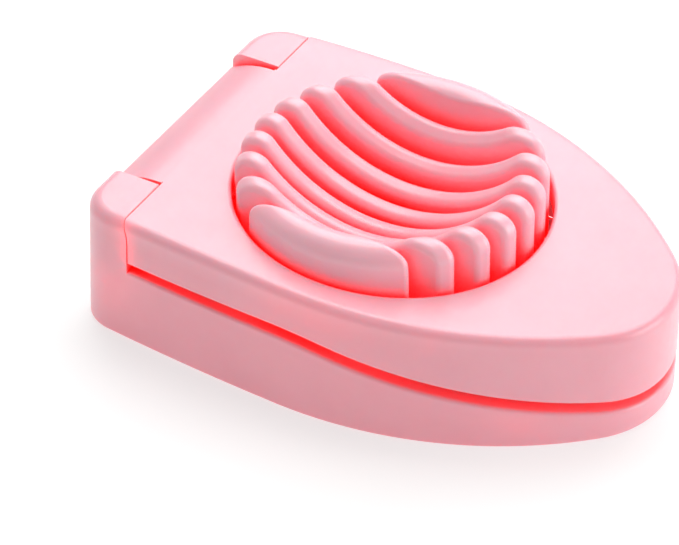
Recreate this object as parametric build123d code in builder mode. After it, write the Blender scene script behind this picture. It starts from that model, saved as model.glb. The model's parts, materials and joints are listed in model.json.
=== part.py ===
"""Egg slicer: a teardrop base with a ribbed egg cradle, and a hinged lid that carries eight cutting wires.

Frame: X across, -Y the rounded nose, +Y the hinge, +Z up, origin at the middle of the footprint.
All sizes are in millimetres.
"""
from build123d import *
import os
from math import cos, radians, sin, sqrt

# ---------------------------------------------------------------- driving dimensions
length = 116.0
width = 80.0
rear_width = 75.0
rear_corner = 9.0
nose_radius = 22.0
flank_radius = 85.0
side_swell = 0.55
draft = 1.6
wall = 2.2
lid_wall = 3.0
plate = 2.4
rim_round = 0.8
ear_round = 2.6

foot_stand = 0.5
waist_y = 8.0
bend_y = 5.0
bend_radius = 60.0
nose_fall = 0.19

base_top = 17.7
lid_low = 20.6
lid_low_rear = 19.3
top_rear = 29.2
top_middle = 29.3
top_nose = 25.2

hole_y = 5.0
hole_radius = 32.6
collar_radius = 35.0

cradle_radius = 31.9
cradle_floor = 20.0
dish_bottom = 24.5
dish_radius = 32.0
dish_reach = 24.6
rim_radius = 4.0
cradle_tilt = 1.6
slot_pitch = 6.7
slot_width = 2.4
rib_round = 1.6
end_rib_round = 1.0

hinge_y = 52.6
hinge_z = 25.0
knuckle_radius = 8.0
barrel_y = 51.8
barrel_z = 23.9
barrel_radius = 5.5
tab_fall_y = 46.0
tab_fall_radius = 20.0
rod_radius = 1.5
running_gap = 0.05
ear_inner = 23.5
tab_half = 22.3
joint_gap = 0.3
rod_half = 30.5

wire_radius = 0.25
wire_z = 21.9
wire_count = 8
frame_inner = 33.4
frame_outer = 36.0
frame_bottom = 20.2
frame_top = 23.8
frame_lug_reach = 37.6
frame_lug_radius = 3.0
ferrule_radius = 0.9
ferrule_length = 2.4
wire_tail = 0.3

frame_screw_radius = 1.0
frame_screw_grip = 3.0
lid_round = 2.0
hole_round = 0.8
pocket_rear_y = 45.8
pocket_roof_z = 24.6

foot_radius = 3.5
column_radius = 4.8
foot_recess = 0.9
stop_radius = 1.2
stop_reach = 34.4
plinth_radius = 30.9
plinth_skirt_z = 9.0
cradle_screw_radius = 1.0
cradle_screw_depth = 9.0
cradle_head_radius = 2.0
frame_head_radius = 1.9
screw_end_gap = 0.4

half_length = length / 2
half_width = width / 2
envelope_height = 34.0
blank_low = 10.0
far = 90.0

cradle_screws_at = [(x, hole_y + y) for x in (-26.8, 26.8) for y in (-5.0, 5.0)]
feet_at = [(-28.5, 46.5), (28.5, 46.5), (-19.0, -33.5), (19.0, -33.5)]


def round_the_opening(reach, angles):
    """Places at one distance from the middle of the egg opening."""
    return [(reach * cos(radians(a)), hole_y + reach * sin(radians(a))) for a in angles]


stops_at = round_the_opening(stop_reach, (65, 115, 245, 295))
lugs_at = round_the_opening(frame_lug_reach, (42, 138, 222, 318))

os.makedirs("parts", exist_ok=True)


def write(piece, name):
    """Label one finished piece and write it as its own node."""
    piece.label = name
    export_step(piece, f"parts/{name}.step")


# ---------------------------------------------------------------- shared outlines
def plan_outline(inset=0.0):
    """The teardrop plan: a straight hinge edge, bulging sides and a round nose."""
    centre_x = flank_radius - half_width
    reach = waist_y + half_length - nose_radius
    join = sqrt(centre_x**2 + reach**2)
    join_x = flank_radius * centre_x / join - centre_x
    join_y = waist_y - flank_radius * reach / join
    side_middle = (-(rear_width / 2 + half_width) / 2 - side_swell, (half_length + waist_y) / 2)
    with BuildSketch() as plan:
        with BuildLine():
            Line((0, half_length), (-rear_width / 2, half_length))
            ThreePointArc((-rear_width / 2, half_length), side_middle, (-half_width, waist_y))
            TangentArc((-half_width, waist_y), (-join_x, join_y), tangent=(0, -1))
            TangentArc((-join_x, join_y), (0, -half_length), tangent=(reach, -centre_x))
            mirror(about=Plane.YZ)
        make_face()
        rear_corners = plan.vertices().filter_by(lambda v: v.Y > half_length - 1 and abs(v.X) > 1)
        fillet(rear_corners, rear_corner)
        if inset:
            offset(amount=-inset)
    return plan.sketch


def under_slope(rear_z, bend_z):
    """Everything under a line that runs level from the hinge and then falls towards the nose."""
    nose_z = bend_z - nose_fall * (bend_y + far)
    with BuildPart() as region:
        with BuildSketch(Plane.YZ):
            with BuildLine():
                FilletPolyline((far, rear_z), (bend_y, bend_z), (-far, nose_z), radius=bend_radius)
                Polyline((-far, nose_z), (-far, -far), (far, -far), (far, rear_z))
            make_face()
        extrude(amount=far, both=True)
    return region.part


def under_crown(depth=0.0):
    """Everything under the gently crowned top, or under that line lowered by depth."""
    mean_z = (top_rear + top_nose) / 2
    slope = (top_rear - top_nose) / length
    end_y = half_length + 6
    end_z = mean_z - (top_middle - mean_z) * ((end_y / half_length) ** 2 - 1) - depth
    rear_end = (end_y, end_z + slope * end_y)
    nose_end = (-end_y, end_z - slope * end_y)
    with BuildPart() as region:
        with BuildSketch(Plane.YZ):
            with BuildLine():
                ThreePointArc(rear_end, (0, top_middle - depth), nose_end)
                Polyline(nose_end, (-end_y, -far), (end_y, -far), rear_end)
            make_face()
        extrude(amount=far, both=True)
    return region.part


def hinge_profile(front_radius):
    """Side view of a hinge knuckle: upright in front below the axis, round above it, open-ended behind."""
    with BuildSketch() as region:
        with Locations((hinge_y, hinge_z)):
            Circle(front_radius)
            Rectangle(front_radius, far, align=(Align.MAX, Align.MAX))
        with Locations((hinge_y + far / 2, 0)):
            Rectangle(far, 2 * far)
    return region.sketch


def beside(profile, inner_x):
    """A side profile extruded outwards on both sides, from inner_x on."""
    with BuildPart() as pair:
        for side in (-1, 1):
            with BuildSketch(Plane.YZ.offset(side * inner_x)):
                add(profile)
            extrude(amount=side * far)
    return pair.part


with BuildPart() as envelope:
    with BuildSketch(Plane.XY.offset(foot_stand)):
        add(plan_outline())
    extrude(amount=envelope_height, taper=draft)

with BuildPart() as inner_envelope:
    with BuildSketch(Plane.XY.offset(foot_stand - 1)):
        add(plan_outline(wall))
    extrude(amount=envelope_height, taper=draft)


def is_rim(edge):
    """True for the outer edges of a cut through the envelope, not for the seams across it."""
    middle = edge @ 0.5
    return abs(middle.X) > 1 or abs(middle.Y) > half_length - 6


# ---------------------------------------------------------------- base with its two hinge ears
with BuildPart() as base_block:
    add(envelope.part)
    add(under_slope(base_top, base_top), mode=Mode.INTERSECT)
    upper_faces = base_block.faces().filter_by(lambda f: f.normal_at().Z > 0.5)
    fillet(upper_faces.edges().filter_by(is_rim), rim_round)

with BuildPart() as ears:
    add(beside(hinge_profile(knuckle_radius), ear_inner))
    add(envelope.part, mode=Mode.INTERSECT)
    add(under_crown(), mode=Mode.INTERSECT)
    crest = ears.faces().filter_by(lambda f: f.normal_at().Z > 0.9).edges()
    outer_crest = crest.filter_by(lambda e: (e @ 0.5).Y > half_length - 1.5 or abs((e @ 0.5).X) > 33)
    fillet(outer_crest, ear_round)

with BuildPart() as cavity:
    add(inner_envelope.part)
    add(under_slope(base_top - plate, base_top - plate), mode=Mode.INTERSECT)

with BuildPart() as columns:
    with BuildSketch(Plane.XY.offset(foot_stand)):
        with Locations(*feet_at):
            Circle(column_radius)
    extrude(amount=base_top)
    add(under_slope(base_top - plate / 2, base_top - plate / 2), mode=Mode.INTERSECT)

with BuildPart() as stops:
    with BuildSketch():
        with Locations(*stops_at):
            Circle(stop_radius)
    extrude(amount=frame_bottom - running_gap)
    add(under_slope(base_top - plate / 2, base_top - plate / 2), mode=Mode.SUBTRACT)

with BuildPart() as base_shell:
    add(base_block.part)
    add(ears.part)
    # hollow from below, leaving the wall, the deck and the solid hinge ears
    add(cavity.part, mode=Mode.SUBTRACT)
    # round plinth that carries the cradle, hollow in step with the deck
    with BuildSketch(Plane.XY.offset(base_top)):
        with Locations((0, hole_y)):
            Circle(plinth_radius)
    extrude(amount=-(base_top - plinth_skirt_z))
    with BuildSketch(Plane.XY.offset(base_top - plate)):
        with Locations((0, hole_y)):
            Circle(plinth_radius - plate)
        with Locations(*cradle_screws_at):
            Circle(cradle_head_radius + 0.2)
    extrude(amount=-base_top, mode=Mode.SUBTRACT)
    # corner columns that hold the feet
    add(columns.part)
    with BuildSketch(Plane.XY.offset(foot_stand)):
        with Locations(*feet_at):
            Circle(foot_radius + running_gap)
    extrude(amount=foot_recess, mode=Mode.SUBTRACT)
    # stops that the lid's wire frame comes down on
    add(stops.part)
    # screw holes up through the plinth, and blind sockets for the hinge rod
    with Locations(*[Pos(x, y, base_top) for x, y in cradle_screws_at]):
        Hole(cradle_screw_radius + running_gap, depth=plate + 1)
    for side in (-1, 1):
        with BuildSketch(Plane.YZ.offset(side * (ear_inner - 1))):
            with Locations((hinge_y, hinge_z)):
                Circle(rod_radius + running_gap)
        extrude(amount=side * (rod_half + 0.2 - ear_inner + 1), mode=Mode.SUBTRACT)
write(base_shell.part, "base_shell")


# ---------------------------------------------------------------- egg cradle
dish_centre_z = dish_bottom + dish_radius
reach_z = dish_centre_z - sqrt(dish_radius**2 - dish_reach**2)
rim_x = dish_reach * (1 + rim_radius / dish_radius)
rim_z = reach_z - (dish_centre_z - reach_z) * rim_radius / dish_radius
wall_top_x = rim_x + rim_radius
end_rib_x = slot_pitch * (wire_count - 1) / 2

with BuildPart() as cradle_blank:
    with BuildSketch(Plane.XZ):
        with BuildLine():
            dish = RadiusArc((0, dish_bottom), (dish_reach, reach_z), -dish_radius)
            rim = TangentArc(dish @ 1, (wall_top_x, rim_z), tangent=dish % 1)
            Polyline(rim @ 1, (cradle_radius, blank_low), (0, blank_low), (0, dish_bottom))
        make_face()
    revolve(axis=Axis.Z)

with BuildPart() as egg_cradle:
    pivot = Pos(0, hole_y, base_top) * Rot(X=-cradle_tilt)
    add(pivot * Pos(0, 0, -base_top) * cradle_blank.part)
    with Locations((0, 0, base_top)):
        Box(far, 2 * far, far, align=(Align.CENTER, Align.CENTER, Align.MAX), mode=Mode.SUBTRACT)
    # the slots that the wires drop into
    with BuildSketch(Plane.XY.offset(cradle_floor)):
        with GridLocations(slot_pitch, 0, wire_count, 1):
            Rectangle(slot_width, 2 * far)
    extrude(amount=far, mode=Mode.SUBTRACT)
    for radius, end_rib in ((rib_round, False), (end_rib_round, True)):
        sides = egg_cradle.faces().filter_by(Axis.X)
        sides = sides.filter_by(lambda f: (abs(f.center().X) > end_rib_x) == end_rib)
        fillet(sides.edges().filter_by(lambda e: (e @ 0.5).Z > cradle_floor + 0.2), radius)
    with BuildSketch(Plane.XY.offset(base_top)):
        with Locations(*cradle_screws_at):
            Circle(cradle_screw_radius + running_gap)
    extrude(amount=cradle_screw_depth, mode=Mode.SUBTRACT)
write(egg_cradle.part, "egg_cradle")


# ---------------------------------------------------------------- lid
with BuildPart() as lid_block:
    add(envelope.part)
    add(under_crown(), mode=Mode.INTERSECT)
    add(under_slope(lid_low_rear, lid_low), mode=Mode.SUBTRACT)
    crown_faces = lid_block.faces().filter_by(lambda f: f.normal_at().Z > 0.9)
    fillet(crown_faces.edges().filter_by(is_rim), lid_round)

with BuildPart() as lid_cavity:
    with BuildSketch():
        add(plan_outline(lid_wall))
    extrude(amount=envelope_height)
    add(under_crown(plate), mode=Mode.INTERSECT)
    with Locations((0, hinge_y - knuckle_radius - wall, 0)):
        Box(far * 2, far, far * 2, align=(Align.CENTER, Align.MIN, Align.CENTER), mode=Mode.SUBTRACT)
    with BuildSketch():
        with Locations((0, hole_y + collar_radius)):
            Rectangle(2 * (tab_half - wall), 2 * (pocket_rear_y - hole_y - collar_radius))
    extrude(amount=pocket_roof_z)

# collar round the egg opening, and bosses for the wire frame's screws
with BuildPart() as collar:
    with BuildSketch(Plane.XY.offset(frame_top)):
        with Locations((0, hole_y)):
            Circle(collar_radius)
        with Locations(*lugs_at):
            Circle(frame_lug_radius)
    extrude(amount=top_rear - frame_top)
    add(under_crown(plate / 2), mode=Mode.INTERSECT)


def on_hole_edge(edge):
    """True for the upper edge of the egg opening."""
    middle = edge @ 0.5
    reach = sqrt(middle.X**2 + (middle.Y - hole_y) ** 2)
    return middle.Z > top_nose and abs(reach - hole_radius) < 0.01


with BuildPart() as lid_shell:
    add(lid_block.part)
    add(lid_cavity.part, mode=Mode.SUBTRACT)
    add(collar.part)
    with BuildSketch(Plane.XY.offset(frame_top)):
        with Locations(*lugs_at):
            Circle(frame_screw_radius + running_gap)
    extrude(amount=frame_screw_grip, mode=Mode.SUBTRACT)
    with BuildSketch():
        with Locations((0, hole_y)):
            Circle(hole_radius)
    extrude(amount=far, mode=Mode.SUBTRACT)
    fillet(lid_shell.edges().filter_by(on_hole_edge), hole_round)
    # shoulders curved to clear the ears, and the tab rounded into a barrel on the hinge axis
    add(beside(hinge_profile(knuckle_radius + joint_gap), tab_half), mode=Mode.SUBTRACT)
    with BuildSketch(Plane.YZ):
        with Locations((barrel_y, barrel_z)):
            Circle(barrel_radius)
    extrude(amount=tab_half, both=True)
    with BuildSketch(Plane.YZ):
        with Locations((barrel_y, barrel_z)):
            Rectangle(far, far, align=(Align.MIN, Align.CENTER))
            Circle(barrel_radius, mode=Mode.SUBTRACT)
    extrude(amount=tab_half, both=True, mode=Mode.SUBTRACT)
    with BuildSketch(Plane.YZ):
        with Locations((tab_fall_y, top_rear - tab_fall_radius)):
            Rectangle(far, far, align=(Align.MIN, Align.MIN))
            Circle(tab_fall_radius, mode=Mode.SUBTRACT)
    extrude(amount=tab_half, both=True, mode=Mode.SUBTRACT)
    with BuildSketch(Plane.YZ):
        with Locations((hinge_y, hinge_z)):
            Circle(rod_radius + running_gap)
    extrude(amount=tab_half + 1, both=True, mode=Mode.SUBTRACT)
write(lid_shell.part, "lid_shell")


# ---------------------------------------------------------------- hinge rod
with BuildPart() as hinge_rod:
    with BuildSketch(Plane.YZ):
        with Locations((hinge_y, hinge_z)):
            Circle(rod_radius)
    extrude(amount=rod_half, both=True)
    chamfer(hinge_rod.faces().filter_by(Axis.X).edges(), 0.3)
write(hinge_rod.part, "hinge_rod")


# ---------------------------------------------------------------- wire frame, wires and ferrules
wire_xs = [slot_pitch * (i - (wire_count - 1) / 2) for i in range(wire_count)]

with BuildPart() as wire_frame:
    with BuildSketch(Plane.XY.offset(frame_bottom)):
        with Locations((0, hole_y)):
            Circle(frame_outer)
        with Locations(*lugs_at):
            Circle(frame_lug_radius)
        with Locations((0, hole_y)):
            Circle(frame_inner, mode=Mode.SUBTRACT)
        with Locations(*lugs_at):
            Circle(frame_screw_radius + running_gap, mode=Mode.SUBTRACT)
    extrude(amount=frame_top - frame_bottom)
    with BuildSketch(Plane.XZ):
        with Locations(*[(x, wire_z) for x in wire_xs]):
            Circle(wire_radius + running_gap)
    extrude(amount=far, both=True, mode=Mode.SUBTRACT)
write(wire_frame.part, "wire_frame")

ferrule_starts = [sqrt(frame_outer**2 - (abs(x) - ferrule_radius) ** 2) + running_gap for x in wire_xs]

for number, (x, start) in enumerate(zip(wire_xs, ferrule_starts), 1):
    with BuildPart() as wire:
        with BuildSketch(Plane.XZ.offset(-hole_y)):
            with Locations((x, wire_z)):
                Circle(wire_radius)
        extrude(amount=start + ferrule_length + wire_tail, both=True)
    write(wire.part, f"wire_{number}")

for side, name in ((-1, "wire_ferrules_front"), (1, "wire_ferrules_rear")):
    with BuildPart() as ferrules:
        for x, start in zip(wire_xs, ferrule_starts):
            with BuildSketch(Plane.XZ.offset(-(hole_y + side * start))):
                with Locations((x, wire_z)):
                    Circle(ferrule_radius)
                    Circle(wire_radius + running_gap / 2, mode=Mode.SUBTRACT)
            extrude(amount=-side * ferrule_length)
    write(ferrules.part, name)


# ---------------------------------------------------------------- fasteners and feet
def pan_screws(places, head_top_z, grip, radius, head_radius, head_height):
    """Identical pan-head screws, driven upwards, with a cross recess in each head."""
    with BuildPart() as screws:
        with BuildSketch(Plane.XY.offset(head_top_z)):
            with Locations(*places):
                Circle(radius)
        extrude(amount=grip)
        with BuildSketch(Plane.XY.offset(head_top_z)):
            with Locations(*places):
                Circle(head_radius)
        extrude(amount=-head_height)
        low_edges = screws.edges().group_by(Axis.Z)[0]
        fillet(low_edges, head_height * 0.45)
        with BuildSketch(Plane.XY.offset(head_top_z - head_height)):
            with Locations(*places):
                Rectangle(head_radius, head_radius * 0.26)
                Rectangle(head_radius * 0.26, head_radius)
        extrude(amount=head_height * 0.6, mode=Mode.SUBTRACT)
    return screws.part


cradle_screw_top = base_top - plate
cradle_screws = pan_screws(
    cradle_screws_at, cradle_screw_top, plate + cradle_screw_depth - screw_end_gap, cradle_screw_radius,
    cradle_head_radius, 1.6
)
write(cradle_screws, "cradle_screws")

frame_screws = pan_screws(
    lugs_at, frame_bottom, frame_top - frame_bottom + frame_screw_grip - screw_end_gap, frame_screw_radius,
    frame_head_radius, 1.2
)
write(frame_screws, "frame_screws")

foot_names = ("foot_rear_left", "foot_rear_right", "foot_front_left", "foot_front_right")
for name, place in zip(foot_names, feet_at):
    with BuildPart() as foot:
        with BuildSketch():
            with Locations(place):
                Circle(foot_radius)
        extrude(amount=foot_stand + foot_recess)
        fillet(foot.edges().group_by(Axis.Z)[0], 0.3)
    write(foot.part, name)
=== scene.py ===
"""Looks for the egg slicer: materials, floor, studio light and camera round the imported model."""
import json
from math import cos, radians, sin

import bpy
from mathutils import Matrix, Vector

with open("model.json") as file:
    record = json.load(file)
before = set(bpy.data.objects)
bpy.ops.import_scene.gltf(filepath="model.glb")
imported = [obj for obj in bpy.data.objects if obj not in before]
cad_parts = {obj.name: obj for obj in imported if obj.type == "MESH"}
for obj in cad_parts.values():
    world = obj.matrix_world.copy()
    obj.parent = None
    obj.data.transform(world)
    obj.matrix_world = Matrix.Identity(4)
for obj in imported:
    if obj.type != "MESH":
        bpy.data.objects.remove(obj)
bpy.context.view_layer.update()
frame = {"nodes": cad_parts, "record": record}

scene = bpy.context.scene
nodes = frame["nodes"]
mm = 0.001


# ---------------------------------------------------------------- camera
def add_camera(azimuth, elevation, roll, lens, distance, aim, slide, lift):
    """A camera on a sphere round aim, tilted by roll, then slid sideways and up in its own plane."""
    a, e, r = radians(azimuth), radians(elevation), radians(roll)
    back = Vector((sin(a) * cos(e), -cos(a) * cos(e), sin(e)))
    level = Vector((cos(a), sin(a), 0))
    upright = back.cross(level)
    right = cos(r) * level + sin(r) * upright
    up = cos(r) * upright - sin(r) * level
    place = aim + back * distance + right * slide + up * lift
    data = bpy.data.cameras.new("camera")
    data.lens = lens
    camera = bpy.data.objects.new("camera", data)
    camera.matrix_world = Matrix.Translation(place) @ Matrix((right, up, back)).transposed().to_4x4()
    scene.collection.objects.link(camera)
    scene.camera = camera


add_camera(
    azimuth=-61, elevation=40.1, roll=1.4, lens=159, distance=0.612,
    aim=Vector((0, 0, 15 * mm)), slide=-14.9 * mm, lift=-4.2 * mm,
)


# ---------------------------------------------------------------- material helpers
class Nodes:
    """A small builder for one material's node tree."""

    # places of the colour sockets on a Mix node, whose socket names repeat for each data type
    mix_first, mix_second, mix_result = 6, 7, 2

    def __init__(self, name):
        self.material = bpy.data.materials.new(name)
        self.material.use_nodes = True
        self.tree = self.material.node_tree
        self.shader = self.tree.nodes["Principled BSDF"]
        self.place = self.add("ShaderNodeTexCoord").outputs["Object"]

    def add(self, kind, **values):
        """A node of that kind, with its attributes, or else its input sockets, set from values."""
        node = self.tree.nodes.new(kind)
        for key, value in values.items():
            if hasattr(node, key):
                setattr(node, key, value)
            else:
                self.feed(node.inputs[key], value)
        return node

    def feed(self, socket, value):
        """Link the socket to value if that is a socket too, or else set it to value."""
        if isinstance(value, bpy.types.NodeSocket):
            self.tree.links.new(value, socket)
        else:
            socket.default_value = value

    def noise(self, scale, detail, roughness, where=None):
        """Noise over the object's own coordinates, or over where."""
        node = self.add("ShaderNodeTexNoise", Scale=scale, Detail=detail, Roughness=roughness)
        self.feed(node.inputs["Vector"], where or self.place)
        return node.outputs["Fac"]

    def stretched(self, scale):
        """Object coordinates stretched by scale along each axis."""
        node = self.add("ShaderNodeMapping", Vector=self.place)
        node.inputs["Scale"].default_value = scale
        return node.outputs["Vector"]

    def ramp(self, value, low, high, to_low=0.0, to_high=1.0):
        """The value mapped from low..high to to_low..to_high, and clamped there."""
        node = self.add("ShaderNodeMapRange")
        self.feed(node.inputs["Value"], value)
        node.inputs["From Min"].default_value = low
        node.inputs["From Max"].default_value = high
        node.inputs["To Min"].default_value = to_low
        node.inputs["To Max"].default_value = to_high
        return node.outputs["Result"]

    def math(self, operation, first, second):
        """The result of one arithmetic operation on two values."""
        node = self.add("ShaderNodeMath", operation=operation)
        self.feed(node.inputs[0], first)
        self.feed(node.inputs[1], second)
        return node.outputs["Value"]

    def mix(self, share, first, second):
        """The first colour, turned towards the second by share."""
        node = self.add("ShaderNodeMix", data_type="RGBA")
        self.feed(node.inputs["Factor"], share)
        self.feed(node.inputs[self.mix_first], first)
        self.feed(node.inputs[self.mix_second], second)
        return node.outputs[self.mix_result]

    def bump(self, height, distance, strength, base=None):
        """A normal bent by height, on top of the normal base if there is one."""
        node = self.add("ShaderNodeBump")
        self.feed(node.inputs["Height"], height)
        node.inputs["Distance"].default_value = distance
        node.inputs["Strength"].default_value = strength
        if base:
            self.feed(node.inputs["Normal"], base)
        return node.outputs["Normal"]

    def set(self, **values):
        """Shader inputs by name, with underscores for spaces."""
        for key, value in values.items():
            self.feed(self.shader.inputs[key.replace("_", " ")], value)


def crevice_shade(n, height):
    """Shares of painted shallow and deep crevice shade: 0 in the open, 1 where other surfaces lie
    close by.
    """
    reach = 5 * mm
    open_sky = n.add("ShaderNodeAmbientOcclusion", Distance=reach, samples=8).outputs["AO"]
    # the gap between base and lid, low on the slicer, gets deeper painted shade than the slots above
    # it
    gap_top, slot_floor, gap_depth = 20 * mm, 24 * mm, 0.30
    openness = n.math("SUBTRACT", open_sky, n.ramp(height, gap_top, slot_floor, gap_depth, 0.0))
    # no painted crevice shade where the base's lower edge only nears the table
    off_floor = n.ramp(height, 2.5 * mm, 6 * mm)
    shallow_shade = n.math("MULTIPLY", n.ramp(openness, 0.15, 0.58, 1.0, 0.0), off_floor)
    deep_shade = n.math("MULTIPLY", n.ramp(openness, 0.05, 0.38, 1.0, 0.0), off_floor)
    return shallow_shade, deep_shade


def pink_plastic():
    """Moulded plastic: soft gloss, painted red shade and painted red glow in its hollows and gaps,
    painted light paling the cradle's top, faint flow marks and a fine grain.
    """
    pink, flow_pink, painted_light_pink = (0.87, 0.39, 0.46, 1), (0.89, 0.415, 0.485, 1), (0.98, 0.53, 0.61, 1)
    # painted shade colours: coral for shallow crevices, red for deep ones
    coral, red = (0.95, 0.22, 0.26, 1), (1.0, 0.03, 0.03, 1)
    # painted glow colours: none in the open, red in the deepest crevices
    no_glow, painted_red_glow = (0.0, 0.0, 0.0, 1), (0.9, 0.0, 0.0, 1)
    # painted light: the heights over which the cradle is painted paler
    painted_light_from, painted_light_to = 24.5 * mm, 33 * mm

    n = Nodes("pink_plastic")
    height = n.add("ShaderNodeSeparateXYZ", Vector=n.place).outputs["Z"]
    shallow_shade, deep_shade = crevice_shade(n, height)
    flow = n.ramp(n.noise(60, 4, 0.6), 0.35, 0.65)
    # painted light: paler towards the top of the cradle, standing in for the light its thin ribs let
    # through
    flow_and_painted_light = n.mix(n.ramp(height, painted_light_from, painted_light_to), n.mix(flow, pink, flow_pink), painted_light_pink)
    grain = n.bump(n.noise(2600, 2, 0.5), 0.01 * mm, 0.5)
    n.set(
        # painted shade: the colour turns coral in shallow crevices and red in deep ones
        Base_Color=n.mix(deep_shade, n.mix(shallow_shade, flow_and_painted_light, coral), red),
        Roughness=n.ramp(n.noise(350, 4, 0.6), 0.3, 0.7, 0.30, 0.42),
        Normal=n.bump(n.noise(45, 2, 0.4), 0.25 * mm, 0.25, grain),
        Subsurface_Weight=0.8,
        Subsurface_Radius=(1.0, 0.15, 0.12),
        Subsurface_Scale=3 * mm,
        IOR=1.49,
        Specular_IOR_Level=0.7,
        Coat_Weight=0.3,
        Coat_Roughness=0.22,
        # painted glow: the deepest crevices give off red light, though the plastic is no lamp
        Emission_Color=n.mix(deep_shade, no_glow, painted_red_glow),
        Emission_Strength=1.0,
    )
    return n.material


def metal(name, colour, roughness, grain, grain_scale):
    """Bare metal with a directional grain, small stains and uneven roughness."""
    stain_shade, smoother, rougher = 0.82, 0.06, 0.08
    stained = tuple(c * stain_shade for c in colour) + (1,)

    n = Nodes(name)
    lines = n.noise(900, 3, 0.6, n.stretched(grain_scale))
    stains = n.ramp(n.noise(220, 4, 0.6), 0.35, 0.7)
    n.set(
        Base_Color=n.mix(stains, colour + (1,), stained),
        Metallic=1.0,
        Roughness=n.ramp(lines, 0.3, 0.7, roughness - smoother, roughness + rougher),
        Normal=n.bump(lines, grain, 0.6),
    )
    return n.material


def rubber():
    """Soft pad material: matt, slightly dusty, with a fine pebbled skin."""
    clean, dusty = (0.62, 0.50, 0.50, 1), (0.74, 0.66, 0.65, 1)

    n = Nodes("foot_rubber")
    dust = n.noise(180, 5, 0.65)
    n.set(
        Base_Color=n.mix(n.ramp(dust, 0.4, 0.75), clean, dusty),
        Roughness=n.ramp(dust, 0.3, 0.7, 0.62, 0.85),
        Normal=n.bump(n.noise(3200, 3, 0.6), 0.05 * mm, 0.5),
    )
    return n.material


even, along_x, along_y = (1, 1, 1), (0.05, 1, 1), (1, 0.05, 1)
materials = {
    "pink_plastic": pink_plastic(),
    "frame_alloy": metal("frame_alloy", (0.72, 0.72, 0.74), 0.38, 0.02 * mm, even),
    "plated_steel": metal("plated_steel", (0.66, 0.67, 0.70), 0.28, 0.01 * mm, even),
    "rod_steel": metal("rod_steel", (0.62, 0.62, 0.64), 0.22, 0.01 * mm, along_x),
    "wire_steel": metal("wire_steel", (0.78, 0.78, 0.80), 0.18, 0.005 * mm, along_y),
    "ferrule_brass": metal("ferrule_brass", (0.75, 0.58, 0.28), 0.30, 0.01 * mm, even),
    "foot_rubber": rubber(),
}

for entry in frame["record"]["subparts"]:
    mesh = nodes[entry["node"]].data
    mesh.materials.clear()
    mesh.materials.append(materials[entry["material_slot"]])


# ---------------------------------------------------------------- floor and light
def pale_floor():
    """Matt white sweep, bright enough to leave only a soft shadow round the slicer."""
    grey, pale_grey = (0.48, 0.49, 0.48, 1), (0.52, 0.52, 0.52, 1)

    n = Nodes("floor")
    n.set(
        Base_Color=n.mix(n.ramp(n.noise(12, 3, 0.5), 0.3, 0.7), grey, pale_grey),
        Roughness=0.9,
        Emission_Color=(1.0, 1.0, 1.0, 1),
        Emission_Strength=0.57,
    )
    return n.material


def add_floor(half):
    """A square sheet at the height the slicer stands on."""
    corners = [(-half, -half, 0), (half, -half, 0), (half, half, 0), (-half, half, 0)]
    floor_mesh = bpy.data.meshes.new("floor")
    floor_mesh.from_pydata(corners, [], [(0, 1, 2, 3)])
    floor_mesh.materials.append(pale_floor())
    floor = bpy.data.objects.new("floor", floor_mesh)
    scene.collection.objects.link(floor)


def area_light(name, direction, distance, size, power):
    """A square soft light in one direction from the slicer, facing the middle of its base."""
    data = bpy.data.lights.new(name, "AREA")
    data.size = size
    data.energy = power
    light = bpy.data.objects.new(name, data)
    back = Vector(direction).normalized()
    turn = back.to_track_quat("Z", "Y").to_matrix().to_4x4()
    light.matrix_world = Matrix.Translation(back * distance) @ turn
    scene.collection.objects.link(light)


def add_world(strength):
    """An even white sky."""
    world = bpy.data.worlds.new("studio")
    world.use_nodes = True
    sky = world.node_tree.nodes["Background"]
    sky.inputs["Color"].default_value = (1, 1, 1, 1)
    sky.inputs["Strength"].default_value = strength
    scene.world = world


add_floor(half=3.0)
area_light("key", (0.52, 0.18, 0.83), distance=0.9, size=0.9, power=8)
area_light("nose_fill", (0.35, -1.0, 0.3), distance=1.0, size=0.6, power=4)
add_world(strength=0.42)
scene.view_settings.view_transform = "Standard"
